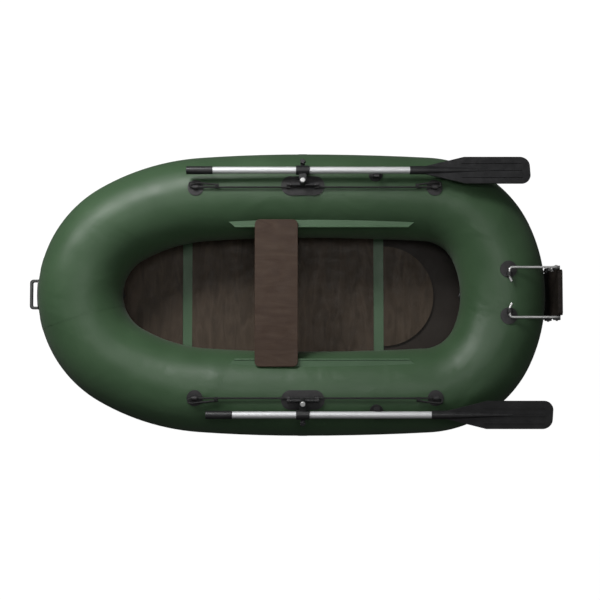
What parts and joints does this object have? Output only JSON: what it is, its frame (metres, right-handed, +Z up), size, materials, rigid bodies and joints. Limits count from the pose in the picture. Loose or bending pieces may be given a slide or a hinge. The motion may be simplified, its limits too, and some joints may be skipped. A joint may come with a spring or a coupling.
{
  "type": "inflatable rowing boat",
  "caption": "One-seat inflatable rowing boat with plywood floor, sliding plank seat, pivoting oars in oarlocks and a lift-up hung transom.",
  "frame": {"origin": "on the ground, midway along the boat's overall length and on its centreline", "axes": "+X towards the stern, +Y to starboard, +Z up"},
  "size_m": [2.376, 1.2814, 0.4494],
  "materials": {
    "hull_pvc": "satin coated cloth",
    "bulkhead_pvc": "coated cloth",
    "bottom_pvc": "coated cloth",
    "bearer_pvc": "coated cloth",
    "floor_ply": "film-faced, semi-matt",
    "seat_ply": "film-faced, semi-matt",
    "transom_ply": "film-faced, dark",
    "black_rubber": "matt",
    "handle_rubber": "matt grey",
    "line_rope": "braided",
    "steel": "brushed",
    "black_plastic": "moulded",
    "shaft_alloy": "anodised"
  },
  "bodies": {
    "hull": {"bow_chamber": "hull_pvc", "stern_chamber": "hull_pvc", "chamber_bulkheads": "bulkhead_pvc", "seam_tapes": "hull_pvc", "bottom_sheet": "bottom_pvc", "bottom_tape": "hull_pvc", "bow_floor_board": "floor_ply", "middle_floor_board": "floor_ply", "stern_floor_board": "floor_ply", "bow_floor_hinge": "bearer_pvc", "stern_floor_hinge": "bearer_pvc", "starboard_seat_bearer": "bearer_pvc", "port_seat_bearer": "bearer_pvc", "bow_handle": "handle_rubber", "starboard_bow_eye": "black_rubber", "starboard_stern_eye": "black_rubber", "port_bow_eye": "black_rubber", "port_stern_eye": "black_rubber", "starboard_grab_line": "line_rope", "port_grab_line": "line_rope", "starboard_oarlock_base": "black_rubber", "port_oarlock_base": "black_rubber", "oarlock_axles": "steel", "starboard_oar_clip": "black_rubber", "port_oar_clip": "black_rubber", "starboard_transom_holder": "black_rubber", "port_transom_holder": "black_rubber", "bow_valve_body": "black_plastic", "stern_valve_body": "black_plastic", "bow_valve_spring": "steel", "stern_valve_spring": "steel"},
    "seat": {"seat_board": "seat_ply", "starboard_seat_rail": "black_plastic", "port_seat_rail": "black_plastic", "seat_screws": "steel"},
    "transom": {"transom_board": "transom_ply", "starboard_transom_rod": "steel", "port_transom_rod": "steel", "transom_clamps": "black_plastic", "transom_bolts": "steel", "transom_feet": "black_rubber"},
    "starboard_oarlock": {"starboard_oarlock_head": "black_plastic", "starboard_oarlock_nut": "steel"},
    "starboard_collar": {"starboard_oar_collar": "black_plastic"},
    "starboard_knob": {"starboard_clamp_knob": "black_plastic"},
    "starboard_oar": {"starboard_oar_shaft": "shaft_alloy", "starboard_oar_grip": "black_plastic", "starboard_oar_blade": "black_plastic"},
    "port_oarlock": {"port_oarlock_head": "black_plastic", "port_oarlock_nut": "steel"},
    "port_collar": {"port_oar_collar": "black_plastic"},
    "port_knob": {"port_clamp_knob": "black_plastic"},
    "port_oar": {"port_oar_shaft": "shaft_alloy", "port_oar_grip": "black_plastic", "port_oar_blade": "black_plastic"},
    "bow_cap": {"bow_valve_cap": "black_plastic"},
    "bow_poppet": {"bow_valve_poppet": "black_plastic"},
    "stern_cap": {"stern_valve_cap": "black_plastic"},
    "stern_poppet": {"stern_valve_poppet": "black_plastic"}
  },
  "joints": [
    {"name": "seat_slide", "type": "slide", "parent": "hull", "child": "seat", "axis": [1, 0, 0], "range_m": [-0.08, 0.36]},
    {"name": "transom_lift", "type": "hinge", "parent": "hull", "child": "transom", "pos_m": [0.9555, 0, 0.402], "axis": [0, -1, 0], "range_deg": [0, 110]},
    {"name": "starboard_oarlock_tilt", "type": "hinge", "parent": "hull", "child": "starboard_oarlock", "pos_m": [0.0545, 0.4711, 0.39994], "axis": [1, 0, 0], "range_deg": [0, 22]},
    {"name": "starboard_oar_swing", "type": "hinge", "parent": "starboard_oarlock", "child": "starboard_collar", "pos_m": [0.0545, 0.48017, 0.42959], "axis": [0, 0.2924, 0.9563], "range_deg": [0, 115]},
    {"name": "starboard_oar_reach", "type": "slide", "parent": "starboard_collar", "child": "starboard_oar", "axis": [1, 0, 0], "range_m": [-0.05, 0.1]},
    {"name": "starboard_clamp_knob_turn", "type": "hinge", "parent": "starboard_collar", "child": "starboard_knob", "pos_m": [0.0545, 0.56337, 0.40415], "axis": [0, 0.2924, 0.9563], "continuous": true},
    {"name": "port_oarlock_tilt", "type": "hinge", "parent": "hull", "child": "port_oarlock", "pos_m": [0.0545, -0.4711, 0.39994], "axis": [-1, 0, 0], "range_deg": [0, 22]},
    {"name": "port_oar_swing", "type": "hinge", "parent": "port_oarlock", "child": "port_collar", "pos_m": [0.0545, -0.48017, 0.42959], "axis": [0, 0.2924, -0.9563], "range_deg": [0, 115]},
    {"name": "port_oar_reach", "type": "slide", "parent": "port_collar", "child": "port_oar", "axis": [1, 0, 0], "range_m": [-0.13, 0.02]},
    {"name": "port_clamp_knob_turn", "type": "hinge", "parent": "port_collar", "child": "port_knob", "pos_m": [0.0545, -0.56337, 0.40415], "axis": [0, -0.2924, 0.9563], "continuous": true},
    {"name": "bow_valve_cap_turn", "type": "hinge", "parent": "hull", "child": "bow_cap", "pos_m": [-0.79167, 0, 0.07529], "axis": [0.8192, 0, -0.5736], "range_deg": [0, 90]},
    {"name": "bow_valve_poppet_push", "type": "slide", "parent": "hull", "child": "bow_poppet", "axis": [-0.8192, 0, 0.5736], "range_m": [0, 0.005], "stiffness_N_per_m": 200, "springref_m": -0.004, "deforming": ["bow_valve_spring"]},
    {"name": "stern_valve_cap_turn", "type": "hinge", "parent": "hull", "child": "stern_cap", "pos_m": [0.80067, 0, 0.07529], "axis": [-0.8192, 0, -0.5736], "range_deg": [0, 90]},
    {"name": "stern_valve_poppet_push", "type": "slide", "parent": "hull", "child": "stern_poppet", "axis": [0.8192, 0, 0.5736], "range_m": [0, 0.005], "stiffness_N_per_m": 200, "springref_m": -0.004, "deforming": ["stern_valve_spring"]}
  ]
}
